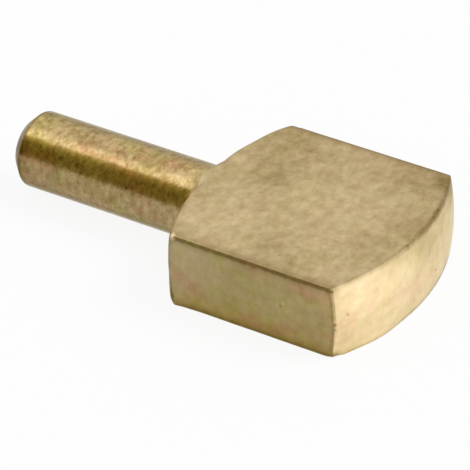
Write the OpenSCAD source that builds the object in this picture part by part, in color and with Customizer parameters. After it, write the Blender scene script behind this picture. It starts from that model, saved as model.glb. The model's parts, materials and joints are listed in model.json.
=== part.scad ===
// Shelf support pin. A round pin fits a hole in the side of a cabinet, and the flat
// head carries the shelf. It is one piece, turned from a flat bar: both ends of the
// head are domes about the pin's axis, and its faces are the bar's own.
// The origin lies on the pin's axis at the crown of the shoulder, where the pin leaves
// the head. X runs along the pin towards the nose, and the shelf lies on the +Z face.

/* [Pin] */
// Diameter of the hole that takes the pin
hole_d = 6.35; // [5:0.05:10]
// Play of the pin in that hole, on the diameter
hole_play = 0.15; // [0.05:0.05:0.3]
// Length of the pin, from the crown of the shoulder to its free end
pin_len = 16.7; // [10:0.1:30]
// Size of the 45-degree chamfer round the pin's free end
pin_chamfer = 0.9; // [0.2:0.1:2]
// Radius of the fillet that the turning tool leaves at the pin's root
root_r = 0.4; // [0.1:0.1:0.8]

/* [Head] */
// Width of the head, across the bar
head_w = 17.4; // [12:0.1:24]
// Length of the head, from the crown of the shoulder to the tip of the nose
head_len = 19; // [14:0.5:30]
// How much thicker the bar is than the pin that is turned from it
bar_allowance = 0.15; // [0.05:0.05:4]
// Radius of the dome at the nose
nose_r = 19.2; // [15:0.1:40]
// Radius of the dome at the shoulder
shoulder_r = 19.2; // [15:0.1:40]
// Width of the bevel that breaks the edges of the bar and of the nose
edge_break = 0.2; // [0.1:0.05:0.6]
// Width of the bevel that breaks the edges of the shoulder
shoulder_break = 0.35; // [0.1:0.05:0.6]

/* [Hidden] */
$fn = 128;

pin_r = (hole_d - hole_play) / 2;
half_w = head_w / 2;
half_t = pin_r + bar_allowance / 2;

// Centres of the two domes, on the pin's axis
shoulder_x = shoulder_r;
nose_x = head_len - nose_r;

// Centre of the root fillet's arc, as far from the pin as from the shoulder's dome
root_arc_r = pin_r + root_r;
root_arc_x = shoulder_x - sqrt(pow(shoulder_r + root_r, 2) - pow(root_arc_r, 2));
// Share of the way from the dome's centre to the arc's centre at which they touch
root_touch = shoulder_r / (shoulder_r + root_r);

// How far a cutting shape runs past what it cuts
overrun = 1;

// Profiles of turned shapes have the radius along x and the pin's axis along y.

// The pin with its chamfered end, up to the crown of the shoulder and a little past it
module pin_profile() {
    polygon([
        [0, -pin_len],
        [pin_r - pin_chamfer, -pin_len],
        [pin_r, pin_chamfer - pin_len],
        [pin_r, overrun],
        [0, overrun]
    ]);
}

// The fillet between the pin and the shoulder
module root_profile() {
    difference() {
        polygon([
            [0, root_arc_x],
            [root_arc_r, root_arc_x],
            [root_arc_r * root_touch, shoulder_x + (root_arc_x - shoulder_x) * root_touch],
            [0, overrun]
        ]);
        translate([root_arc_r, root_arc_x])
            circle(root_r);
    }
}

// The lens between the shoulder's dome and the nose's dome
module dome_profile() {
    intersection() {
        translate([0, shoulder_x])
            circle(shoulder_r);
        translate([0, nose_x])
            circle(nose_r);
        square([shoulder_r, head_len]);
    }
}

// What the lathe would make of round bar: the pin, its root and both domes
module turned_blank() {
    rotate([0, 90, 0])
        rotate_extrude() {
            pin_profile();
            root_profile();
            dome_profile();
        }
}

// The flat bar, with its four long edges broken
module bar() {
    bar_len = pin_len + head_len + 2 * overrun;
    translate([-pin_len - overrun, 0, 0])
        rotate([90, 0, 90])
            linear_extrude(bar_len)
                polygon([
                    [half_w - edge_break, -half_t], [half_w, edge_break - half_t],
                    [half_w, half_t - edge_break], [half_w - edge_break, half_t],
                    [edge_break - half_w, half_t], [-half_w, half_t - edge_break],
                    [-half_w, edge_break - half_t], [edge_break - half_w, -half_t]
                ]);
}

// Two faces, each half_gap from the centre of a dome, cut it in two round rims. This is
// the space inside the bevels that break them, as a double cone square to the faces.
module rim_space(dome_r, half_gap, bevel) {
    slope = tan(45 + asin(half_gap / dome_r) / 2);
    rim_r = sqrt(pow(dome_r, 2) - pow(half_gap, 2)) - bevel;
    end_r = rim_r - slope * overrun;
    end_y = half_gap + overrun;
    rotate_extrude()
        polygon([[0, -end_y], [end_r, -end_y], [rim_r + slope * half_gap, 0],
                 [end_r, end_y], [0, end_y]]);
}

// The space inside the bevels on all four rims of the dome centred at dome_x
module dome_edges(dome_r, dome_x, bevel) {
    translate([dome_x, 0, 0])
        intersection() {
            rim_space(dome_r, half_t, bevel);
            rotate([90, 0, 0])
                rim_space(dome_r, half_w, bevel);
        }
}

// The pin and its fillet, which the bevels of the shoulder stop short of
module root_space() {
    translate([-pin_len - overrun, 0, 0])
        rotate([0, 90, 0])
            cylinder(r = root_arc_r, h = pin_len + overrun + head_len / 2);
}

module shelf_pin() {
    color([0.78, 0.67, 0.44])
        intersection() {
            turned_blank();
            bar();
            dome_edges(nose_r, nose_x, edge_break);
            union() {
                dome_edges(shoulder_r, shoulder_x, shoulder_break);
                root_space();
            }
        }
}

shelf_pin();
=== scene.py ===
"""A shelf support pin in raw brass, with the studio that shows it.

The pin and both ends of its head are turned about the pin's axis, and the faces of the
head are those of the flat bar that it is turned from. Lengths are in metres, with X along
the pin towards the nose and Z up, and the origin at the crown of the shoulder.
"""

import json
import math

import bmesh
import bpy
from bpy.props import (
    FloatProperty,
    FloatVectorProperty,
    IntProperty,
    PointerProperty,
)
from bpy.types import Operator, Panel, PropertyGroup
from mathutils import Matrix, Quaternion, Vector
from mathutils.kdtree import KDTree

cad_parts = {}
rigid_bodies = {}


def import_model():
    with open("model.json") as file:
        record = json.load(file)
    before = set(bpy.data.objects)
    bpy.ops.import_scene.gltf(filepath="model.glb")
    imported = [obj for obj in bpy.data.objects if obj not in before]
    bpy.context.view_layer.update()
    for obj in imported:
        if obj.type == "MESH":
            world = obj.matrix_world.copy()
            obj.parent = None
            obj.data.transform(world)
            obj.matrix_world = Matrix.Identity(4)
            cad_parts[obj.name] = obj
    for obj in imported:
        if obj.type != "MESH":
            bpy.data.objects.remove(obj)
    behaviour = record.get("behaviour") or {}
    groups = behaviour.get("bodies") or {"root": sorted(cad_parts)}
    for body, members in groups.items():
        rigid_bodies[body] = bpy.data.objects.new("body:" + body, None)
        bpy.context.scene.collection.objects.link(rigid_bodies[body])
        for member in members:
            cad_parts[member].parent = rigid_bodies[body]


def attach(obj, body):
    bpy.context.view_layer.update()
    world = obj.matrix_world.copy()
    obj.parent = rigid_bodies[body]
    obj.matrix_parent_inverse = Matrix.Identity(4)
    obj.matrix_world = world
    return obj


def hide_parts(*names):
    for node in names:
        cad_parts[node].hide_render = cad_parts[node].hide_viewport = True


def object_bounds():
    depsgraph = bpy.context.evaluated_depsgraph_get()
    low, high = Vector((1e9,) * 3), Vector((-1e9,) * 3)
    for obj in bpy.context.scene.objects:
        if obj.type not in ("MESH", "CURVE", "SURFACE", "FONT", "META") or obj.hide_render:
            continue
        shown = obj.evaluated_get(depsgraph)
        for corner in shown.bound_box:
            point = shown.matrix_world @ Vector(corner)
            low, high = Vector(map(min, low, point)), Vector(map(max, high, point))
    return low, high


bl_info = {
    "name": "Shelf Support Pin",
    "version": (1, 0, 0),
    "blender": (4, 5, 0),
    "location": "3D View > Sidebar > Shelf Pin",
    "description": "Turns a brass shelf support pin from flat bar and sets up its studio",
    "category": "Add Mesh",
}

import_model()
CAD_LOW, CAD_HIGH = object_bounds()

NODE = "shelf_pin"
BODY = "root"
SLOT = "raw_brass"

MM = 0.001
ORIGIN = (0.0, 0.0, 0.0)
PIN_AXIS = (1.0, 0.0, 0.0)
BACK = (0.0, 1.0, 0.0)


# Sizes and colours


def length(name, description, default, **more):
    """A size in metres."""
    return FloatProperty(
        name=name, description=description, default=default, min=0.0, precision=5,
        subtype="DISTANCE", unit="LENGTH", **more,
    )


def angle(name, description, degrees):
    """An angle, which Blender keeps in radians."""
    return FloatProperty(
        name=name, description=description, default=math.radians(degrees), subtype="ANGLE",
    )


def colour(name, description, red, green, blue):
    """A colour as seen on a screen, from 0 to 255, which Blender keeps as linear light."""
    def linear(level):
        part = level / 255
        return part / 12.92 if part <= 0.04045 else ((part + 0.055) / 1.055) ** 2.4

    return FloatVectorProperty(
        name=name, description=description, default=(linear(red), linear(green), linear(blue)),
        min=0.0, max=1.0, size=3, subtype="COLOR",
    )


def place(name, description, x, y, z):
    """A place in metres."""
    return FloatVectorProperty(
        name=name, description=description, default=(x, y, z), size=3, precision=5,
        subtype="TRANSLATION", unit="LENGTH",
    )


def shade(name, description, red, green, blue):
    """A glow in linear light, where 1 is white."""
    return FloatVectorProperty(
        name=name, description=description, default=(red, green, blue), min=0.0,
        soft_max=2.0, size=3, subtype="COLOR",
    )


def strength(name, description, default):
    """A plain strength, which may pass 1."""
    return FloatProperty(name=name, description=description, default=default, min=0.0)


def share(name, description, default):
    """A part of a whole, from 0 to 1."""
    return FloatProperty(
        name=name, description=description, default=default, min=0.0, max=1.0, subtype="FACTOR",
    )


class PinSizes(PropertyGroup):
    """The sizes of the pin and its head."""

    pin_length: length("Pin Length", "From the shoulder's crown to the free end", -CAD_LOW.x)
    pin_radius: length("Pin Radius", "Radius of the round pin", 3.1 * MM)
    end_chamfer: length("End Chamfer", "45-degree chamfer round the pin's free end", 0.9 * MM)
    root_radius: length("Root Radius", "Fillet between the pin and the shoulder", 0.4 * MM)
    head_length: length("Head Length", "From the shoulder's crown to the nose's tip", CAD_HIGH.x)
    head_width: length("Head Width", "Width of the flat bar", CAD_HIGH.y - CAD_LOW.y)
    head_thickness: length("Head Thickness", "Thickness of the flat bar", CAD_HIGH.z - CAD_LOW.z)
    shoulder_radius: length("Shoulder Radius", "Radius of the dome at the shoulder", 19.2 * MM)
    shoulder_break: length("Shoulder Break", "Bevel on the shoulder's edges", 0.35 * MM)
    nose_radius: length("Nose Radius", "Radius of the dome at the nose", 19.2 * MM)
    skin_grid: length("Skin Grid", "Spacing of the grid that the surface is laid on", 0.08 * MM)
    tumbling: IntProperty(
        name="Tumbling", description="Passes of smoothing that roll the edges over",
        default=5, min=0, max=60,
    )
    wave_height: length("Wave Height", "Height of the long waves in the skin", 0.016 * MM)
    wave_length: length("Wave Length", "Length of the long waves in the skin", 2.6 * MM)
    triangles: IntProperty(
        name="Triangles", description="Most triangles that the finished piece may have",
        default=190000, min=1000, max=199000,
    )


class BrassFinish(PropertyGroup):
    """The colours and the polish of the brass."""

    bar_colour: colour("Bar", "Brass of the drawn faces of the bar", 196, 173, 129)
    pin_colour: colour("Pin", "Brass of the turned pin", 187, 161, 112)
    end_colour: colour("Pin End", "Duller brass of the pin's chamfer and end", 158, 146, 108)
    nose_colour: colour("Nose", "Brass of the freshly cut nose", 237, 213, 168)
    # The colour of the dark edge lines and marks, which are partly grime and partly painted shade.
    grime_and_shade_colour: colour("Grime", "Grime that is left along the edges", 110, 84, 24)
    copper_tint: colour("Copper Tint", "Cast of the reddish stains", 255, 229, 240)
    olive_tint: colour("Olive Tint", "Cast of the greenish stains", 242, 255, 212)
    glancing_tint: colour("Glancing Tint", "Tint of what it mirrors at a glance", 255, 253, 246)
    deepening: FloatVectorProperty(
        name="Deepening", description="How fast red, green and blue fall where the brass darkens",
        default=(1.0, 1.13, 1.5), min=0.0, size=3, subtype="XYZ",
    )
    bar_roughness: share("Bar Roughness", "Roughness of the drawn faces", 0.36)
    pin_roughness: share("Pin Roughness", "Roughness of the turned pin", 0.21)
    nose_roughness: share("Nose Roughness", "Roughness of the cut nose", 0.33)
    clouding: share("Clouding", "Strength of the light and dark clouds", 0.38)
    pin_clouding: share("Pin Clouding", "Clouds on the pin, as a share of the bar's", 0.4)
    # Painted light: lightens the near half of the shoulder's rims, where their bevel mirrors a darker
    # floor.
    painted_rim_light: share("Rubbing", "How much lighter the rubbed rim of the shoulder is", 0.25)
    bar_mottle: strength("Bar Mottle", "Strength of the fine mottling on the flat faces", 0.88)
    side_mottle: share("Side Mottle", "Mottling of the sides, as a share of the faces'", 0.55)
    nose_mottle: share("Nose Mottle", "Mottling of the nose, as a share of the faces'", 0.52)
    pin_mottle: strength("Pin Mottle", "How much more the turned pin is mottled", 0.74)
    lower_pin_calm: strength("Lower Pin Calm", "How much of that its lower part lacks", 0.4)
    flecking: strength("Flecking", "How dark the small flecks in the mottling are", 0.12)
    staining: share("Staining", "Strength of the reddish and greenish stains on the sides", 0.8)
    face_staining: share("Face Staining", "Stains on the faces, as a share of the sides'", 0.25)
    pin_staining: share("Pin Staining", "Stains on the pin, as a share of the sides'", 0.95)
    nose_copper: share("Nose Copper", "How much more reddish the nose's stains are", 0.28)
    pin_copper: share("Pin Copper", "How much more reddish the pin's stains are", 0.25)
    pin_olive: share("Pin Olive", "How much less greenish the pin's stains are", 0.25)
    roughness_drift: share("Roughness Drift", "How far the roughness wanders", 0.2)


class StudioSettings(PropertyGroup):
    """The camera, the floor and the light."""

    azimuth: angle("Azimuth", "How far the camera stands to the right of the front", 34.348)
    elevation: angle("Elevation", "How far the camera stands above the floor", 34.576)
    roll: angle("Roll", "How far the camera leans", -2.619)
    distance: length("Distance", "From the camera to the point it looks at", 287.4 * MM)
    aim: place("Aim", "The point that the camera looks at", 3.705 * MM, -1.882 * MM, -0.498 * MM)
    lens: FloatProperty(
        name="Lens", description="Focal length in millimetres", default=287.95, min=1.0,
    )
    room: length("Room", "From the middle of the floor to the card behind", 300 * MM)
    surround: share("Surround", "Light of the white surround on the floor", 0.6)
    paper: share("Paper", "How white the floor's paper is", 0.98)
    floor_lift: share("Floor Lift", "How far the floor is lifted to white in view", 0.9)
    floor_mirror_lift: share("Floor Mirror Lift", "The same where metal mirrors it", 0.15)
    key: strength("Key", "Strength of the key light", 1.3)
    key_spread: angle("Key Spread", "Width of the key light", 30)
    key_from: place("Key From", "Where the key light comes from", 180 * MM, 105 * MM, 216 * MM)
    overhead: strength("Overhead", "Glow of the card over the pin, at its near edge", 1.72)
    overhead_far: strength("Overhead Far", "Glow of that card at its far edge", 1.27)
    overhead_place: place("Overhead Place", "The middle of that card", -0.2, -0.084, 0.4)
    overhead_size: FloatVectorProperty(
        name="Overhead Size", description="Length and width of that card",
        default=(300 * MM, 200 * MM), size=2, precision=5, subtype="XYZ_LENGTH", unit="LENGTH",
    )
    front_foot: shade("Front Foot", "The foot of the card in front", 0.6, 0.6, 0.5)
    front_shade: shade("Front Shade", "The rest of that card, which darkens the pin", 0.235, 0.205, 0.045)
    front_top: shade("Front Top", "The top of that card, under the overhead one", 0.8, 0.72, 0.2)
    foot_height: length("Foot Height", "Where the front card has darkened", 30 * MM)
    back_shade: shade("Back Shade", "The horizon behind the part", 0.6, 0.6, 0.6)
    back_glow: shade("Back Glow", "The card behind, above that horizon", 1.0, 1.0, 1.0)
    horizon_height: length("Horizon Height", "Where the back card has cleared", 300 * MM)
    table_shade: shade("Table Shade", "The floor in front and behind", 0.6, 0.61, 0.52)
    # Painted light and shade on the floor card: lighter to the left, painted shadows under the pin, past
    # its free end and at the foot of the sides, and a painted pool of light for the nose.
    table_left_shade: shade("Table Left", "The floor to the left", 0.67, 0.685, 0.7)
    table_under_shadow: shade("Table Under", "The floor under the pin", 0.49, 0.5, 0.46)
    table_end_shadow: shade("Table End", "The floor past the pin's free end", 0.5, 0.5, 0.48)
    table_glow: shade("Table Glow", "The floor to the right, which the nose mirrors", 1.24, 1.24, 1.24)
    table_foot_shadow: shade("Table Foot", "The floor at the foot of the sides", 0.52, 0.49, 0.27)
    table_lift: length("Table Lift", "From the floor to the card that lies on it", 0.05 * MM)


# Modelling helpers


def deselect_all():
    """Nothing stays selected, so that an operator acts on what is picked next."""
    for each in bpy.data.objects:
        each.select_set(False)


def activate(piece):
    """Makes piece the one selected and active object."""
    deselect_all()
    piece.select_set(True)
    bpy.context.view_layer.objects.active = piece


def start_profile(name, start):
    """A new object that holds a single point, in edit mode, for a profile to grow from."""
    deselect_all()
    bpy.ops.mesh.primitive_plane_add(size=MM, location=ORIGIN)
    piece = bpy.context.object
    piece.name = piece.data.name = name
    bpy.ops.object.mode_set(mode="EDIT")
    bpy.ops.mesh.select_all(action="SELECT")
    bpy.ops.mesh.merge(type="CENTER")
    bpy.ops.transform.translate(value=start)
    return piece


def line_by(x, y, z):
    """Draws the profile on in a straight line."""
    bpy.ops.mesh.extrude_region_move(TRANSFORM_OT_translate={"value": (x, y, z)})


def arc_about(x, z, turn, step):
    """Draws the profile on round a centre. A positive turn is anticlockwise from the front."""
    steps = max(4, math.ceil(abs(turn) / step))
    bpy.ops.mesh.spin(steps=steps, angle=turn, center=(x, 0.0, z), axis=BACK)


def turn_round(centre, axis):
    """Turns the whole profile once round an axis and closes it."""
    round_steps = 256
    bpy.ops.mesh.select_all(action="SELECT")
    bpy.ops.mesh.spin(steps=round_steps, angle=2 * math.pi, center=centre, axis=axis)
    bpy.ops.mesh.select_all(action="SELECT")
    bpy.ops.mesh.remove_doubles(threshold=MM / 1000)
    bpy.ops.mesh.normals_make_consistent(inside=False)
    bpy.ops.object.mode_set(mode="OBJECT")


def combine(piece, operation, other):
    """Cuts a piece with another, or joins them, and throws the other away."""
    apply_modifier(piece, "BOOLEAN", operation=operation, solver="EXACT", object=other)
    bpy.data.objects.remove(other)


def apply_modifier(piece, kind, **settings):
    """Puts a modifier on a piece and applies it."""
    activate(piece)
    modifier = piece.modifiers.new(kind.title(), kind)
    for name, value in settings.items():
        setattr(modifier, name, value)
    bpy.ops.object.modifier_apply(modifier=modifier.name)


# The piece

# What puts the skin out of true: first broad pushes, which leave the shoulder and the lower
# corners uneven, then dents. Each has its place, the push and its reach, in millimetres.
PUSHES = (
    ((1.9, 7.4, 3.1), (-0.4, 0.0, 0.0), 5.0),
    ((0.7, 3.3, 3.0), (-0.22, 0.0, 0.0), 2.8),
    ((2.5, -8.6, -2.8), (-0.13, -0.09, 0.0), 2.6),
    ((2.7, -8.5, -3.0), (-0.04, -0.04, -0.03), 0.9),
    ((18.3, -4.5, -3.0), (0.12, -0.03, 0.0), 3.0),
    ((16.9, -8.6, -3.1), (-0.06, 0.06, 0.1), 0.9),
    ((18.75, 2.8, -1.35), (-0.05, -0.01, 0.0), 0.35),
    ((17.4, -7.7, 0.5), (-0.05, 0.02, 0.0), 0.3),
    ((19.0, -0.4, 0.4), (-0.03, 0.0, 0.0), 0.5),
    ((16.9, -8.7, 0.05), (-0.05, 0.04, 0.0), 0.22),
    ((16.9, -8.7, -0.45), (-0.05, 0.04, 0.0), 0.2),
    ((12.4, -8.7, 0.3), (0.0, 0.03, 0.0), 0.4),
    ((18.3, 4.2, 3.2), (-0.06, 0.0, -0.06), 0.35),
    ((18.5, 3.2, 3.2), (-0.06, 0.0, -0.05), 0.3),
    ((18.7, -0.2, 3.2), (-0.04, 0.0, -0.04), 0.35),
    ((18.7, -1.0, 3.2), (-0.04, 0.0, -0.04), 0.3),
    ((6.0, -8.7, 3.2), (0.0, 0.04, -0.04), 0.5),
    ((10.5, -8.7, 3.2), (0.0, 0.03, -0.03), 0.6),
)

# Where handling has worn the edges softer: from which corner to which corner of a box, in
# millimetres, and how many passes of smoothing. All are mirrored across Y.
WORN = (
    ((-0.7, 0.0, 1.2), (1.1, 4.2, 3.4), 14),
    ((-0.5, 0.0, 1.6), (0.9, 3.6, 3.4), 14),
    ((-0.7, 0.0, -3.4), (1.1, 4.2, -1.2), 14),
    ((-0.5, 0.0, -3.4), (0.9, 3.6, -1.6), 14),
    ((1.6, 7.9, 2.4), (3.4, 9.0, 3.4), 6),
)


def turned_blank(sizes):
    """The pin, its root and both domes, as the lathe would leave them on round bar."""
    fine, coarse = math.radians(6), math.radians(0.5)
    chamfer = sizes.end_chamfer
    shoulder_x = sizes.shoulder_radius
    nose_x = sizes.head_length - sizes.nose_radius

    root_z = sizes.pin_radius + sizes.root_radius
    root_reach = sizes.shoulder_radius + sizes.root_radius
    root_x = shoulder_x - math.sqrt(root_reach**2 - root_z**2)
    root_lean = math.asin(root_z / root_reach)

    gap = shoulder_x - nose_x
    shoulder_far = (gap**2 + sizes.shoulder_radius**2 - sizes.nose_radius**2) / (2 * gap)
    shoulder_turn = math.acos(shoulder_far / sizes.shoulder_radius)
    nose_turn = math.acos((gap - shoulder_far) / sizes.nose_radius)

    piece = start_profile(NODE + "_brass", (-sizes.pin_length, 0.0, 0.0))
    line_by(0.0, 0.0, sizes.pin_radius - chamfer)
    line_by(chamfer, 0.0, chamfer)
    line_by(sizes.pin_length - chamfer + root_x, 0.0, 0.0)
    arc_about(root_x, root_z, math.pi / 2 - root_lean, fine)
    arc_about(shoulder_x, 0.0, root_lean - shoulder_turn, coarse)
    arc_about(nose_x, 0.0, -nose_turn, coarse)
    turn_round(ORIGIN, PIN_AXIS)
    return piece


def flat_bar(sizes):
    """The bar that the part is cut from, longer than the part."""
    deselect_all()
    bpy.ops.mesh.primitive_cube_add(size=1.0, location=ORIGIN)
    piece = bpy.context.object
    bpy.ops.object.mode_set(mode="EDIT")
    bpy.ops.mesh.select_all(action="SELECT")
    reach = 2 * (sizes.pin_length + sizes.head_length)
    bpy.ops.transform.resize(value=(reach, sizes.head_width, sizes.head_thickness))
    bpy.ops.object.mode_set(mode="OBJECT")
    return piece


def rim_cone(sizes, half_gap, rise):
    """The space inside the bevels where two faces, each half_gap out, cut the shoulder."""
    overrun = MM
    dome = sizes.shoulder_radius
    slope = math.tan(math.pi / 4 + math.asin(half_gap / dome) / 2)
    rim = math.sqrt(dome**2 - half_gap**2) - sizes.shoulder_break
    ridge = rim + slope * half_gap
    end = rim - slope * overrun
    centre = Vector((dome, 0.0, 0.0))
    height = Vector(rise) * (half_gap + overrun)
    flare = Vector((ridge - end, 0.0, 0.0))

    piece = start_profile("rim_cone", centre - height)
    line_by(end, 0.0, 0.0)
    line_by(*(height + flare))
    line_by(*(height - flare))
    line_by(-end, 0.0, 0.0)
    turn_round(centre, rise)
    return piece


def root_rod(sizes):
    """A rod round the pin and its fillet, which the bevels of the shoulder stop short of."""
    reach = sizes.pin_length + sizes.head_length
    deselect_all()
    bpy.ops.mesh.primitive_cylinder_add(
        vertices=128, radius=sizes.pin_radius + sizes.root_radius, depth=reach,
        location=(sizes.head_length / 2 - reach / 2, 0.0, 0.0), rotation=(0.0, math.pi / 2, 0.0),
    )
    return bpy.context.object


def wave_skin(piece, sizes):
    """Lets the skin swell and sink by a hair, as drawn and tumbled brass does."""
    waves = bpy.data.textures.new("waves", "CLOUDS")
    waves.noise_scale = sizes.wave_length
    waves.noise_depth = 2
    apply_modifier(
        piece, "DISPLACE", texture=waves, texture_coords="LOCAL", mid_level=0.5,
        strength=sizes.wave_height,
    )


def push_skin(piece):
    """Pushes the skin out of true and knocks the dents into it, each with a soft brim."""
    activate(piece)
    bpy.ops.object.mode_set(mode="EDIT")
    skin = bmesh.from_edit_mesh(piece.data)
    skin.verts.ensure_lookup_table()
    tree = KDTree(len(skin.verts))
    for vertex in skin.verts:
        tree.insert(vertex.co, vertex.index)
    tree.balance()
    for spot, push, reach in PUSHES:
        bpy.ops.mesh.select_all(action="DESELECT")
        skin = bmesh.from_edit_mesh(piece.data)
        skin.verts.ensure_lookup_table()
        skin.verts[tree.find(Vector(spot) * MM)[1]].select_set(True)
        bpy.ops.transform.translate(
            value=Vector(push) * MM, use_proportional_edit=True,
            proportional_edit_falloff="SMOOTH", proportional_size=reach * MM,
        )
    bpy.ops.object.mode_set(mode="OBJECT")


def soften_worn(piece):
    """Smooths the edges that are worn softer than the rest."""
    activate(piece)
    bpy.ops.object.mode_set(mode="EDIT")
    for low, high, passes in WORN:
        bpy.ops.mesh.select_all(action="DESELECT")
        skin = bmesh.from_edit_mesh(piece.data)
        for vertex in skin.verts:
            spot = (vertex.co.x / MM, abs(vertex.co.y) / MM, vertex.co.z / MM)
            if all(a <= each <= b for a, each, b in zip(low, spot, high)):
                vertex.select_set(True)
        bpy.ops.mesh.vertices_smooth(factor=0.5, repeat=passes)
    bpy.ops.object.mode_set(mode="OBJECT")


def thin_mesh(piece, most):
    """Leaves fewer triangles where the skin is flat."""
    triangles = sum(len(face.vertices) - 2 for face in piece.data.polygons)
    if triangles > most:
        apply_modifier(piece, "DECIMATE", decimate_type="COLLAPSE", ratio=most / triangles)


def shelf_pin(sizes):
    """The whole part: the blank's flats are the bar's faces, and tumbling rolls its edges."""
    rims = rim_cone(sizes, sizes.head_thickness / 2, (0.0, 0.0, 1.0))
    combine(rims, "INTERSECT", rim_cone(sizes, sizes.head_width / 2, (0.0, 1.0, 0.0)))
    combine(rims, "UNION", root_rod(sizes))
    piece = turned_blank(sizes)
    combine(piece, "INTERSECT", flat_bar(sizes))
    combine(piece, "INTERSECT", rims)
    apply_modifier(piece, "REMESH", mode="VOXEL", voxel_size=sizes.skin_grid, adaptivity=0.0)
    apply_modifier(piece, "SMOOTH", factor=0.5, iterations=sizes.tumbling)
    soften_worn(piece)
    wave_skin(piece, sizes)
    push_skin(piece)
    thin_mesh(piece, sizes.triangles)
    activate(piece)
    bpy.ops.object.shade_smooth()
    return piece


# Materials

# The places of a Mix node's colour sockets, which share their names with its other ones
FIRST_COLOUR, SECOND_COLOUR, MIXED_COLOUR = 6, 7, 2


class Graph:
    """A node tree that is filled one node at a time."""

    def __init__(self, owner):
        owner.use_nodes = True
        self.tree = owner.node_tree
        self.tree.nodes.clear()

    def feed(self, socket, value):
        """Links an output to a socket, or sets the socket."""
        if isinstance(value, bpy.types.NodeSocket):
            self.tree.links.new(value, socket)
        else:
            socket.default_value = value

    def node(self, kind, feeds, **settings):
        """Adds a node. The feeds are its inputs, by name or by place."""
        made = self.tree.nodes.new(kind)
        for name, value in settings.items():
            setattr(made, name, value)
        for name, value in feeds.items():
            self.feed(made.inputs[name], value)
        return made

    def number(self, operation, *values, clamp=False):
        """Arithmetic on numbers."""
        feeds = dict(enumerate(values))
        made = self.node("ShaderNodeMath", feeds, operation=operation, use_clamp=clamp)
        return made.outputs["Value"]

    def plus(self, base, *weighted):
        """A number plus some others, each times its weight."""
        for term, weight in weighted:
            base = self.number("MULTIPLY_ADD", term, weight, base)
        return base

    def times(self, product, *others):
        """The product of some numbers."""
        for each in others:
            product = self.number("MULTIPLY", product, each)
        return product

    def vector(self, operation, *values):
        """Arithmetic on vectors, where a lone number is a scale."""
        feeds = dict(enumerate(values))
        if operation == "SCALE":
            feeds = {"Vector": values[0], "Scale": values[1]}
        made = self.node("ShaderNodeVectorMath", feeds, operation=operation)
        plain = operation in ("DOT_PRODUCT", "LENGTH", "DISTANCE")
        return made.outputs["Value" if plain else "Vector"]

    def parts(self, vector):
        """The three parts of a vector."""
        return self.node("ShaderNodeSeparateXYZ", {"Vector": vector}).outputs

    def whole(self, x, y, z):
        """A vector from its three parts."""
        return self.node("ShaderNodeCombineXYZ", {"X": x, "Y": y, "Z": z}).outputs["Vector"]

    def reach(self, across, up):
        """The length of the slope over two sides."""
        return self.vector("LENGTH", self.whole(across, up, 0.0))

    def step(self, value, start, end, low=0.0, high=1.0):
        """A soft step from low to high as value goes from start to end."""
        feeds = {"Value": value, "From Min": start, "From Max": end, "To Min": low, "To Max": high}
        made = self.node("ShaderNodeMapRange", feeds, interpolation_type="SMOOTHSTEP")
        return made.outputs["Result"]

    def noise(self, point, scale, detail=2.0, roughness=0.5):
        """Smooth noise, which swings about zero."""
        feeds = {"Vector": point, "Scale": scale, "Detail": detail, "Roughness": roughness}
        level = self.node("ShaderNodeTexNoise", feeds).outputs["Fac"]
        return self.number("SUBTRACT", level, 0.5)

    def blend(self, factor, first, second, kind="MIX"):
        """A mix of two colours."""
        feeds = {"Factor": factor, FIRST_COLOUR: first, SECOND_COLOUR: second}
        made = self.node("ShaderNodeMix", feeds, data_type="RGBA", blend_type=kind)
        return made.outputs[MIXED_COLOUR]


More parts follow.
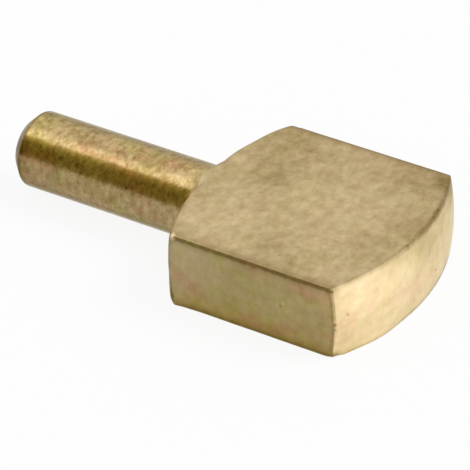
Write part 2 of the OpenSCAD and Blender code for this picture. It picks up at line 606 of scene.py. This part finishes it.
# Soft patches on the brass, partly clouds of tone and partly painted light and shade: painted highlights
# on the shoulder's near top corner and on the pin's root, and painted shade along the lower edge of the
# pin's highlight, halfway down the pin's near side and on the nose. The middle of each and its reach in
# millimetres, and how much lighter or darker the brass is there
CLOUDS = (
    ((4.5, -5.5, 3.2), 5.5, 0.1),
    ((12.0, -1.0, 3.2), 6.0, 0.05),
    ((3.5, 6.5, 3.2), 4.5, -0.2),
    ((5.0, 2.0, 3.2), 3.2, -0.17),
    ((9.5, -6.5, 3.2), 3.5, -0.13),
    ((13.0, -7.2, 3.2), 1.8, -0.16),
    ((17.5, 1.5, 3.2), 3.5, -0.12),
    ((15.0, 7.2, 3.2), 3.5, -0.14),
    ((12.38, -8.7, 0.36), 0.22, 0.3),
    ((13.5, 2.0, 3.2), 4.5, 0.05),
    ((8.0, -2.5, 3.2), 2.5, 0.05),
    # Painted highlight on the shoulder's near top corner.
    ((2.45, -8.6, 3.1), 0.5, 0.9),
    ((2.0, -7.6, 3.2), 1.7, -0.22),
    ((16.3, -7.9, -2.2), 1.6, -0.06),
    ((15.5, -3.0, 3.2), 4.0, -0.06),
    ((8.5, -7.5, 3.2), 2.0, 0.06),
    # Painted light on the near side of the pin's root.
    ((-0.4, -3.2, 0.8), 1.1, 0.15),
    ((15.9, -8.7, 0.2), 2.6, -0.13),
    ((3.2, -8.7, -0.5), 2.6, 0.05),
    ((-15.5, -3.0, 0.2), 1.2, -0.22),
    ((-15.7, -2.5, 1.8), 1.1, -0.3),
    # Painted shade on the nose, darkest at its far top corner.
    ((18.6, 4.0, 2.6), 1.6, -0.08),
    ((18.7, 0.8, 2.9), 1.8, -0.08),
    ((17.4, 7.6, 2.9), 2.3, -0.35),
    ((17.8, -7.0, 2.2), 2.5, 0.04),
    ((18.0, 6.0, -2.2), 2.5, -0.06),
    ((14.6, -7.8, 3.2), 2.0, -0.05),
    ((7.2, 0.6, 3.2), 1.8, 0.06),
    ((2.8, 0.6, 3.2), 1.6, -0.06),
    ((13.0, -3.5, 3.2), 2.6, 0.04),
    ((14.8, 5.0, 3.2), 2.2, -0.06),
    ((13.0, 7.0, 3.2), 2.0, -0.05),
    # Painted shade along the lower edge of the pin's highlight, then a painted highlight above it by the
    # root.
    ((-6.2, -1.95, 2.4), 1.2, -0.12),
    ((-4.6, -1.95, 2.4), 1.2, -0.14),
    ((-3.0, -1.98, 2.38), 1.2, -0.14),
    ((-1.5, -2.0, 2.36), 1.2, -0.15),
    ((-0.4, -2.1, 2.4), 1.0, -0.2),
    ((-1.2, -1.3, 2.85), 1.4, 0.22),
    ((-11.3, 0.2, 3.1), 1.9, -0.15),
    # Painted shade halfway down the pin's near side.
    ((-12.2, -3.1, 0.0), 1.1, -0.11),
    ((-10.4, -3.1, 0.0), 1.2, -0.12),
    ((-8.6, -3.1, 0.0), 1.2, -0.13),
    ((-6.9, -3.1, 0.0), 1.1, -0.12),
)

# Small dark marks: the middle of each and its reach in millimetres, and its strength. The last two are
# painted shade on the top face by the pin's root.
MARKS = (
    ((-5.63, -2.82, 1.28), 0.2, 0.84),
    ((-5.0, -2.75, 1.4), 0.14, 0.6),
    ((-12.02, -2.53, 1.79), 0.3, 0.6),
    ((-10.37, -2.58, 1.71), 0.3, 0.54),
    ((-14.83, -1.57, 2.67), 0.15, 0.36),
    ((-15.2, -2.95, 0.6), 0.3, 0.48),
    ((-12.3, -3.0, -0.2), 0.15, 0.6),
    ((12.15, -8.7, 0.12), 0.2, 0.36),
    ((17.39, -7.67, 0.52), 0.16, 0.42),
    ((18.75, 2.78, -1.35), 0.2, 0.6),
    ((16.87, -8.7, 0.04), 0.17, 0.72),
    ((16.82, -8.7, -0.38), 0.14, 0.72),
    ((18.2, 4.24, 3.15), 0.28, 0.84),
    ((18.36, 3.25, 3.15), 0.24, 0.78),
    ((18.55, 2.3, 3.15), 0.22, 0.6),
    ((18.6, -0.17, 3.15), 0.25, 0.48),
    ((18.6, -1.0, 3.15), 0.25, 0.54),
    ((17.0, 8.2, 3.2), 1.6, 0.3),
    ((0.9, -5.2, 3.2), 1.0, 0.36),
    ((0.3, -3.9, 3.1), 0.9, 0.42),
)


# The corner of the shoulder that carries a painted highlight, where the dark edge lines fade out
HIGHLIGHT_CORNER = (2.45, -8.6, 3.1)


def opaque(rgb):
    """A colour with its alpha."""
    return (*rgb, 1.0)


def face_gaps(graph, point, sizes):
    """How far a point is from each of the part's faces, where inside is below zero."""
    x, y, z = graph.parts(point)
    nose_centre = ((sizes.head_length - sizes.nose_radius) / MM, 0.0, 0.0)
    shoulder_centre = (sizes.shoulder_radius / MM, 0.0, 0.0)
    from_nose = graph.vector("DISTANCE", point, nose_centre)
    from_shoulder = graph.vector("DISTANCE", point, shoulder_centre)
    half_width = sizes.head_width / 2 / MM
    half_thickness = sizes.head_thickness / 2 / MM
    return {
        "x": x, "y": y, "z": z,
        "nose": graph.number("SUBTRACT", from_nose, sizes.nose_radius / MM),
        "shoulder": graph.number("SUBTRACT", from_shoulder, sizes.shoulder_radius / MM),
        "side": graph.number("SUBTRACT", graph.number("ABSOLUTE", y), half_width),
        "face": graph.number("SUBTRACT", graph.number("ABSOLUTE", z), half_thickness),
    }


def tone_and_painted_light(graph, point, gaps, zones, finish):
    """How much lighter the brass is than its colour: long clouds of tone, soft patches that are partly
    painted light and shade, and painted light on the shoulder's rims.
    """
    wash = graph.noise(point, 0.22, detail=3.0, roughness=0.85)
    amount = graph.plus(1.0, (zones["pin"], finish.pin_clouding - 1.0))
    light = graph.times(wash, graph.times(amount, finish.clouding))
    for middle, reach, change in CLOUDS:
        gap = graph.vector("DISTANCE", point, middle)
        light = graph.number("ADD", light, graph.step(gap, reach, 0.0, 0.0, change))
    # Painted light on the near half of the shoulder's rims, where their bevel mirrors a darker floor.
    rim = graph.reach(gaps["shoulder"], gaps["face"])
    rim_width, near_half = (0.45, 0.15), (1.0, -2.5)
    brightened = graph.times(graph.step(rim, *rim_width), graph.step(gaps["y"], *near_half))
    return graph.plus(light, (brightened, finish.painted_rim_light))


def mottled(graph, point, gaps, zones, finish):
    """How much lighter the brass is than its colour, from grain to grain."""
    drawn_out = graph.vector("MULTIPLY", point, (1.0, 0.8, 0.8))
    turned = graph.vector("MULTIPLY", point, (1.0, 0.15, 0.15))
    bar_scale, pin_scale = 1.3, 2.3
    streak_weight, blot_weight, fewest_flecks = 0.18, 0.15, 0.3
    scale = graph.plus(bar_scale, (zones["pin"], pin_scale - bar_scale))
    grain = graph.noise(drawn_out, scale, detail=3.0, roughness=0.65)
    streaks = graph.times(graph.noise(turned, 5.0), zones["pin"])
    blots = graph.noise(graph.vector("MULTIPLY", point, (0.8, 1.0, 1.0)), 0.9, detail=1.0)
    blots = graph.times(blots, zones["pin"])
    flecks = graph.step(graph.noise(drawn_out, 3.2, roughness=0.8), 0.02, 0.2)
    patches = graph.step(graph.noise(point, 0.35), -0.12, 0.12, fewest_flecks, 1.0)
    flecks = graph.times(flecks, patches)
    grain = graph.plus(
        grain, (streaks, streak_weight), (blots, blot_weight), (flecks, -finish.flecking))
    lower_edge = (1.2, 0.6)
    lower_pin = graph.times(graph.step(gaps["z"], *lower_edge), zones["pin"])
    amount = graph.plus(
        finish.bar_mottle,
        (zones["pin"], finish.pin_mottle),
        (lower_pin, -finish.lower_pin_calm),
        (zones["side"], (finish.side_mottle - 1.0) * finish.bar_mottle),
        (zones["nose"], (finish.nose_mottle - 1.0) * finish.bar_mottle),
    )
    return graph.times(grain, amount)


def stained(graph, point, zones, tint, finish):
    """Lets the tint drift to copper and to olive from place to place."""
    drawn_out = graph.vector("MULTIPLY", point, (0.6, 1.0, 1.0))
    shifted = graph.vector("ADD", point, (37.0, 11.0, 5.0))
    threshold = (-0.05, 0.2)
    copper = graph.step(graph.noise(drawn_out, 0.5, detail=2.5, roughness=0.6), *threshold)
    olive = graph.step(graph.noise(shifted, 0.42, detail=2.5, roughness=0.6), *threshold)
    amount = graph.plus(
        finish.face_staining,
        (zones["side"], 1.0 - finish.face_staining),
        (zones["pin"], finish.pin_staining - finish.face_staining),
    )
    more_copper = graph.plus(
        amount, (zones["nose"], finish.nose_copper), (zones["pin"], finish.pin_copper))
    less_olive = graph.plus(amount, (zones["pin"], -finish.pin_olive))
    copper = graph.times(copper, more_copper, finish.staining)
    olive = graph.times(olive, less_olive, finish.staining)
    tint = graph.blend(copper, tint, opaque(finish.copper_tint), "MULTIPLY")
    return graph.blend(olive, tint, opaque(finish.olive_tint), "MULTIPLY")


def edge_grime_and_shade(graph, point, gaps, sizes):
    """How dark the edges are, from 0 to 1, thicker here and there: partly grime, partly painted shade."""
    y, z, nose, side, face = (gaps[name] for name in ("y", "z", "nose", "side", "face"))
    chamfer_x = (sizes.end_chamfer - sizes.pin_length) / MM
    past_chamfer = graph.number("SUBTRACT", gaps["x"], chamfer_x)
    off_pin = graph.number("SUBTRACT", graph.reach(y, z), sizes.pin_radius / MM)
    # Lines that lie beside their edge are moved off it by so many millimetres.
    on_side = graph.reach(side, graph.number("ADD", face, 0.22))
    on_face = graph.reach(graph.number("ADD", side, 0.1), face)
    on_nose = graph.reach(graph.number("ADD", face, graph.step(y, 1.0, 6.0, 0.0, 0.13)), nose)
    off_nose = graph.reach(graph.number("ADD", nose, 0.2), side)
    thicker_above = graph.step(z, -1.0, 1.0, 0.58, 0.81)
    thicker_afar = graph.step(y, -6.5, 4.0, 0.14, 0.7)
    only_afar = graph.step(y, 0.0, 4.0, 0.0, 0.55)
    # The lines are partly grime and partly painted shade: along the bottom edges they stand for shade
    # where the part meets the floor, and along the rims, the nose's edges and the pin's chamfer ridge
    # they deepen edges that mirror dark surroundings.
    # Each line's distance, its width in millimetres and how dark it is
    lines = (
        (on_side, 0.36, thicker_above),
        (graph.reach(side, face), 1.0, 0.43),
        (on_nose, 0.45, thicker_afar),
        (on_face, 0.42, only_afar),
        (off_nose, 0.22, 0.36),
        (graph.reach(gaps["shoulder"], side), 0.4, 0.95),
        (graph.reach(past_chamfer, off_pin), 0.35, 0.6),
    )
    raggedness, highlight_clearing = 0.45, (0.3, 0.65)
    wander = graph.times(graph.noise(point, 1.4, detail=4.0, roughness=0.75), raggedness)
    grime_and_shade = 0.0
    for distance, width, thickness in lines:
        line = graph.step(graph.number("ADD", distance, wander), width, 0.0)
        grime_and_shade = graph.number("MAXIMUM", grime_and_shade, graph.times(line, thickness))
    # The dark edge lines fade out round the corner that carries the painted highlight.
    from_corner = graph.vector("DISTANCE", point, HIGHLIGHT_CORNER)
    return graph.times(grime_and_shade, graph.step(from_corner, *highlight_clearing))


def dark_marks(graph, point, grime_and_shade):
    """Adds the small dark marks to the dark edge lines, each with a dark middle."""
    middle_share = 0.3
    for middle, reach, amount in MARKS:
        gap = graph.vector("DISTANCE", point, middle)
        mark = graph.step(gap, reach, middle_share * reach, 0.0, amount)
        grime_and_shade = graph.number("MAXIMUM", grime_and_shade, mark)
    return grime_and_shade


def tool_marks(graph, point, gaps, zones):
    """The height of the fine marks that drawing and turning leave, in millimetres."""
    bar_depth, pin_depth, turned_depth, faced_depth = 0.006, 0.003, 0.001, 0.003
    along = graph.vector("MULTIPLY", point, (0.35, 1.0, 1.0))
    around = graph.vector("MULTIPLY", point, (1.0, 0.12, 0.12))
    rings = graph.whole(graph.reach(gaps["y"], gaps["z"]), 0.0, 0.0)
    drawn = graph.noise(along, 3.0, detail=4.0, roughness=0.75)
    turned = graph.noise(around, 6.0, detail=3.0, roughness=0.6)
    faced = graph.noise(rings, 5.0, detail=3.0, roughness=0.6)
    height = graph.times(drawn, graph.plus(bar_depth, (zones["pin"], pin_depth - bar_depth)))
    return graph.plus(
        height,
        (turned, graph.times(zones["pin"], turned_depth)),
        (faced, graph.times(zones["nose"], faced_depth)),
    )


def raw_brass(sizes, finish):
    """Brass as it comes from the bar and the lathe, with a little tarnish, grime and painted light and
    shade.
    """
    material = bpy.data.materials.new(SLOT)
    graph = Graph(material)
    coordinates = graph.node("ShaderNodeTexCoord", {}).outputs["Object"]
    point = graph.vector("SCALE", coordinates, 1 / MM)
    gaps = face_gaps(graph, point, sizes)
    chamfer_x = (sizes.end_chamfer - sizes.pin_length) / MM
    # Where each finish begins and where it is full, in millimetres
    pin_edge, end_edge = (0.3, -0.1), (chamfer_x + 0.1, chamfer_x - 0.1)
    nose_edge, side_edge = (-0.1, -0.05), (-0.1, -0.03)
    on_pin = graph.step(gaps["x"], *pin_edge)
    on_end = graph.step(gaps["x"], *end_edge)
    on_nose = graph.step(gaps["nose"], *nose_edge)
    on_side = graph.step(gaps["side"], *side_edge)
    zones = {"pin": on_pin, "nose": on_nose, "side": on_side}

    tint = graph.blend(on_pin, opaque(finish.bar_colour), opaque(finish.pin_colour))
    tint = graph.blend(on_nose, tint, opaque(finish.nose_colour))
    tint = graph.blend(on_end, tint, opaque(finish.end_colour))
    tint = stained(graph, point, zones, tint, finish)
    # The clouds carry painted highlights and painted shade as well as tone.
    clouds = tone_and_painted_light(graph, point, gaps, zones, finish)
    light = graph.number("ADD", clouds, mottled(graph, point, gaps, zones, finish))
    light = graph.vector("SCALE", tuple(finish.deepening), light)
    tint = graph.vector("MULTIPLY", tint, graph.vector("ADD", light, (1.0, 1.0, 1.0)))
    # Dark edge lines and marks: partly grime, partly painted shade.
    grime_and_shade = dark_marks(graph, point, edge_grime_and_shade(graph, point, gaps, sizes))
    tint = graph.blend(grime_and_shade, tint, opaque(finish.grime_and_shade_colour))

    rough = graph.plus(
        finish.bar_roughness,
        (graph.noise(point, 0.9, detail=4.0, roughness=0.7), finish.roughness_drift),
        (on_pin, finish.pin_roughness - finish.bar_roughness),
        (on_nose, finish.nose_roughness - finish.bar_roughness),
    )
    height = tool_marks(graph, point, gaps, zones)
    bump = graph.node("ShaderNodeBump", {"Strength": 1.0, "Distance": MM, "Height": height})
    shader = graph.node("ShaderNodeBsdfPrincipled", {
        "Base Color": tint, "Metallic": 1.0, "Roughness": rough, "Normal": bump.outputs["Normal"],
        "Specular Tint": opaque(finish.glancing_tint),
    })
    graph.node("ShaderNodeOutputMaterial", {"Surface": shader.outputs["BSDF"]})
    return material


# The studio


def white_world(settings):
    """A white surround, with a dimmer light for the floor."""
    world = bpy.data.worlds.new("studio")
    bpy.context.scene.world = world
    graph = Graph(world)
    path = graph.node("ShaderNodeLightPath", {})
    seen = graph.number("ADD", path.outputs["Is Camera Ray"], path.outputs["Is Glossy Ray"])
    seen = graph.number("ADD", seen, path.outputs["Is Transmission Ray"], clamp=True)
    dim = opaque([settings.surround] * 3)
    tint = graph.blend(seen, dim, opaque((1.0, 1.0, 1.0)))
    light = graph.node("ShaderNodeBackground", {"Color": tint, "Strength": 1.0})
    graph.node("ShaderNodeOutputWorld", {"Surface": light.outputs["Background"]})


def floor_material(settings):
    """Pale paper, shown white with a faint shadow."""
    material = bpy.data.materials.new("pale_floor")
    graph = Graph(material)
    path = graph.node("ShaderNodeLightPath", {})
    lift = graph.number("MULTIPLY", path.outputs["Is Camera Ray"], settings.floor_lift)
    mirrored = graph.number(
        "ADD", path.outputs["Is Glossy Ray"], path.outputs["Is Transmission Ray"])
    lift = graph.number("MULTIPLY_ADD", mirrored, settings.floor_mirror_lift, lift)
    paper = graph.node("ShaderNodeBsdfDiffuse", {"Color": opaque([settings.paper] * 3)})
    white = graph.node("ShaderNodeEmission", {"Color": opaque((1.0, 1.0, 1.0)), "Strength": 1.0})
    mixed = graph.node("ShaderNodeMixShader", {0: lift, 1: paper.outputs[0], 2: white.outputs[0]})
    graph.node("ShaderNodeOutputMaterial", {"Surface": mixed.outputs[0]})
    return material


def pale_floor(settings):
    """The sheet that the head's flat underside rests on."""
    deselect_all()
    bpy.ops.mesh.primitive_plane_add(size=20 * settings.room, location=(0.0, 0.0, CAD_LOW.z))
    floor = bpy.context.object
    floor.name = "floor"
    floor.data.materials.append(floor_material(settings))


def towards(settings):
    """From the object to the camera."""
    level = math.cos(settings.elevation)
    return Vector((
        math.sin(settings.azimuth) * level,
        -math.cos(settings.azimuth) * level,
        math.sin(settings.elevation),
    ))


def place_camera(settings):
    """The camera looks down on the near side of the head, over its nose."""
    back = towards(settings)
    deselect_all()
    bpy.ops.object.camera_add(location=Vector(settings.aim) + back * settings.distance)
    camera = bpy.context.object
    camera.rotation_mode = "QUATERNION"
    lean = Quaternion((0.0, 0.0, 1.0), settings.roll)
    camera.rotation_quaternion = (-back).to_track_quat("-Z", "Y") @ lean
    camera.data.lens = settings.lens
    camera.data.clip_start = settings.distance / 20
    camera.data.clip_end = 20 * settings.room
    bpy.context.scene.camera = camera


def key_light(settings):
    """Soft light from behind on the right, which gives the shadow on the floor."""
    deselect_all()
    bpy.ops.object.light_add(type="SUN", location=settings.key_from)
    lamp = bpy.context.object
    lamp.rotation_mode = "QUATERNION"
    lamp.rotation_quaternion = (-Vector(settings.key_from)).to_track_quat("-Z", "Y")
    lamp.data.angle = settings.key_spread
    lamp.data.energy = settings.key
    lamp.visible_glossy = False


def card(name, middle, width, depth, turn, paint):
    """A softly lit card that only the brass mirrors. Paint makes its tint from a point."""
    material = bpy.data.materials.new(name)
    graph = Graph(material)
    position = graph.node("ShaderNodeNewGeometry", {}).outputs["Position"]
    point = graph.parts(graph.vector("SCALE", position, 1 / MM))
    glow = graph.node("ShaderNodeEmission", {"Color": paint(graph, point), "Strength": 1.0})
    graph.node("ShaderNodeOutputMaterial", {"Surface": glow.outputs["Emission"]})

    deselect_all()
    bpy.ops.mesh.primitive_plane_add(size=1.0, location=middle, rotation=(turn, 0.0, 0.0))
    piece = bpy.context.object
    piece.name = name
    piece.scale = (width, depth, 1.0)
    piece.data.materials.append(material)
    piece.visible_camera = False
    piece.visible_diffuse = False
    piece.visible_shadow = False


# The soft edges below are in millimetres, from where a patch starts to where it is full.


def side_foot_shadow(graph, x, y, sizes):
    """A painted shadow on the floor card: the strip at the foot of the near side, which the side mirrors.
    """
    near_side = -sizes.head_width / 2 / MM
    outer, inner, left = (near_side - 2.8, near_side - 0.3), (0.0, near_side), (-1.0, 2.0)
    return graph.times(graph.step(y, *outer), graph.step(y, *inner), graph.step(x, *left))


def under_pin_shadow(graph, x, y):
    """A painted shadow on the floor card: the strip that the lower edge of the pin mirrors."""
    near, far, right = (-3.5, -2.7), (-1.8, -2.4), (0.0, -2.0)
    return graph.times(graph.step(y, *near), graph.step(y, *far), graph.step(x, *right))


def past_end_shadow(graph, x, y):
    """A painted shadow on the floor card: the round patch past the pin's free end."""
    middle_x, edge = -24.0, (14.0, 5.0)
    return graph.step(graph.reach(graph.number("SUBTRACT", x, middle_x), y), *edge)


def nose_glow(graph, x, y, sizes):
    """How bright the floor is for the nose: in a wide patch, and in a band at its foot."""
    nose_x = (sizes.head_length - sizes.nose_radius) / MM
    half_length = sizes.head_length / 2 / MM
    from_centre = graph.reach(graph.number("SUBTRACT", x, nose_x), y)
    out = graph.number("SUBTRACT", from_centre, sizes.nose_radius / MM)

    left, near, far, outer = (15.0, 21.0), (-13.0, -9.0), (0.0, 9.5), (0.0, 8.0)
    far_share, foot_share, outer_share = 0.33, 0.58, 1.05
    patch = graph.times(
        graph.step(x, *left),
        graph.step(y, *far, 1.0, far_share),
        graph.step(y, *near),
        graph.step(out, *outer, foot_share, outer_share),
    )
    left, along, outer, inner = (half_length, half_length + 3.0), (-6.0, 9.0), (7.0, 2.0), (-0.5, 0.2)
    near_share, far_share = 0.62, 0.47
    band = graph.times(
        graph.step(out, *outer),
        graph.step(y, *along, near_share, far_share),
        graph.step(out, *inner),
        graph.step(x, *left),
    )
    return graph.number("MAXIMUM", patch, band)


def room_cards(sizes, settings):
    """What the brass mirrors: cards in front, behind, overhead and on the floor."""
    room, floor = settings.room, CAD_LOW.z
    upright = math.pi / 2
    front_height, back_height = 1.68 * room, room
    front_middle = (-0.7 * room, -0.8 * room, front_height / 2 + floor)
    back_middle = (0.0, room, back_height / 2 + floor)
    table_middle = (0.0, 0.0, floor + settings.table_lift)

    def overhead(graph, point):
        middle, depth = settings.overhead_place[1] / MM, settings.overhead_size[1] / MM
        near, far = middle - depth / 2, middle + depth / 2
        share_of_way = 0.7
        full = far + share_of_way * (near - far)
        level = graph.step(point["Y"], far, full, settings.overhead_far, settings.overhead)
        return graph.whole(level, level, level)

    def front(graph, point):
        climb = graph.step(point["Z"], 0.0, settings.foot_height / MM)
        tint = graph.blend(climb, opaque(settings.front_foot), opaque(settings.front_shade))
        top_starts, top_full = 0.5 * room / MM, 1.9 * room / MM
        climb = graph.step(point["Z"], top_starts, top_full)
        return graph.blend(climb, tint, opaque(settings.front_top))

    def back(graph, point):
        climb = graph.step(point["Z"], 0.0, settings.horizon_height / MM)
        return graph.blend(climb, opaque(settings.back_shade), opaque(settings.back_glow))

    def table(graph, point):
        x, y = point["X"], point["Y"]
        left_edge = (5.0, 0.0)
        left = graph.step(x, *left_edge)
        tint = graph.blend(left, opaque(settings.table_shade), opaque(settings.table_left_shade))
        # Painted shadows of the part on the floor card, and the painted pool of light that the nose
        # mirrors.
        for patch, patch_tint in (
            (side_foot_shadow(graph, x, y, sizes), settings.table_foot_shadow),
            (under_pin_shadow(graph, x, y), settings.table_under_shadow),
            (past_end_shadow(graph, x, y), settings.table_end_shadow),
            (nose_glow(graph, x, y, sizes), settings.table_glow),
        ):
            tint = graph.blend(patch, tint, opaque(patch_tint))
        return tint

    card("overhead_card", settings.overhead_place, *settings.overhead_size, 0.0, overhead)
    card("front_card", front_middle, 1.6 * room, front_height, upright, front)
    card("back_card", back_middle, 2.4 * room, back_height, upright, back)
    card("table_card", table_middle, 2 * room, 2.2 * room, 0.0, table)


class SHELFPIN_OT_make_pin(Operator):
    """Turns the shelf support pin from flat bar and gives it its brass"""

    bl_idname = "shelfpin.make_pin"
    bl_label = "Make Shelf Pin"
    bl_options = {"REGISTER", "UNDO"}

    def execute(self, context):
        scene = context.scene
        piece = shelf_pin(scene.shelfpin_sizes)
        piece.data.materials.append(raw_brass(scene.shelfpin_sizes, scene.shelfpin_finish))
        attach(piece, BODY)
        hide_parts(NODE)
        return {"FINISHED"}


class SHELFPIN_OT_set_stage(Operator):
    """Lays the floor and places the camera and the light"""

    bl_idname = "shelfpin.set_stage"
    bl_label = "Set Up Studio"
    bl_options = {"REGISTER", "UNDO"}

    def execute(self, context):
        context.scene.view_settings.view_transform = "Standard"
        settings = context.scene.shelfpin_studio
        white_world(settings)
        pale_floor(settings)
        key_light(settings)
        room_cards(context.scene.shelfpin_sizes, settings)
        place_camera(settings)
        return {"FINISHED"}


class SHELFPIN_PT_sidebar(Panel):
    """Lists the sizes, the finish and the studio"""

    bl_idname = "SHELFPIN_PT_sidebar"
    bl_label = "Shelf Support Pin"
    bl_space_type = "VIEW_3D"
    bl_region_type = "UI"
    bl_category = "Shelf Pin"

    def draw(self, context):
        scene = context.scene
        for group, operator in (
            (scene.shelfpin_sizes, None),
            (scene.shelfpin_finish, SHELFPIN_OT_make_pin),
            (scene.shelfpin_studio, SHELFPIN_OT_set_stage),
        ):
            box = self.layout.box()
            for name in group.__annotations__:
                box.prop(group, name)
            if operator:
                box.operator(operator.bl_idname)


CLASSES = (
    PinSizes,
    BrassFinish,
    StudioSettings,
    SHELFPIN_OT_make_pin,
    SHELFPIN_OT_set_stage,
    SHELFPIN_PT_sidebar,
)


def register():
    """Adds the classes, and the settings that every scene then has."""
    for each in CLASSES:
        bpy.utils.register_class(each)
    bpy.types.Scene.shelfpin_sizes = PointerProperty(type=PinSizes)
    bpy.types.Scene.shelfpin_finish = PointerProperty(type=BrassFinish)
    bpy.types.Scene.shelfpin_studio = PointerProperty(type=StudioSettings)


def unregister():
    """Takes the settings and the classes away again."""
    del bpy.types.Scene.shelfpin_studio
    del bpy.types.Scene.shelfpin_finish
    del bpy.types.Scene.shelfpin_sizes
    for each in reversed(CLASSES):
        bpy.utils.unregister_class(each)


def main():
    """Makes the part and its studio."""
    register()
    bpy.ops.shelfpin.make_pin()
    bpy.ops.shelfpin.set_stage()


if __name__ == "__main__":
    main()
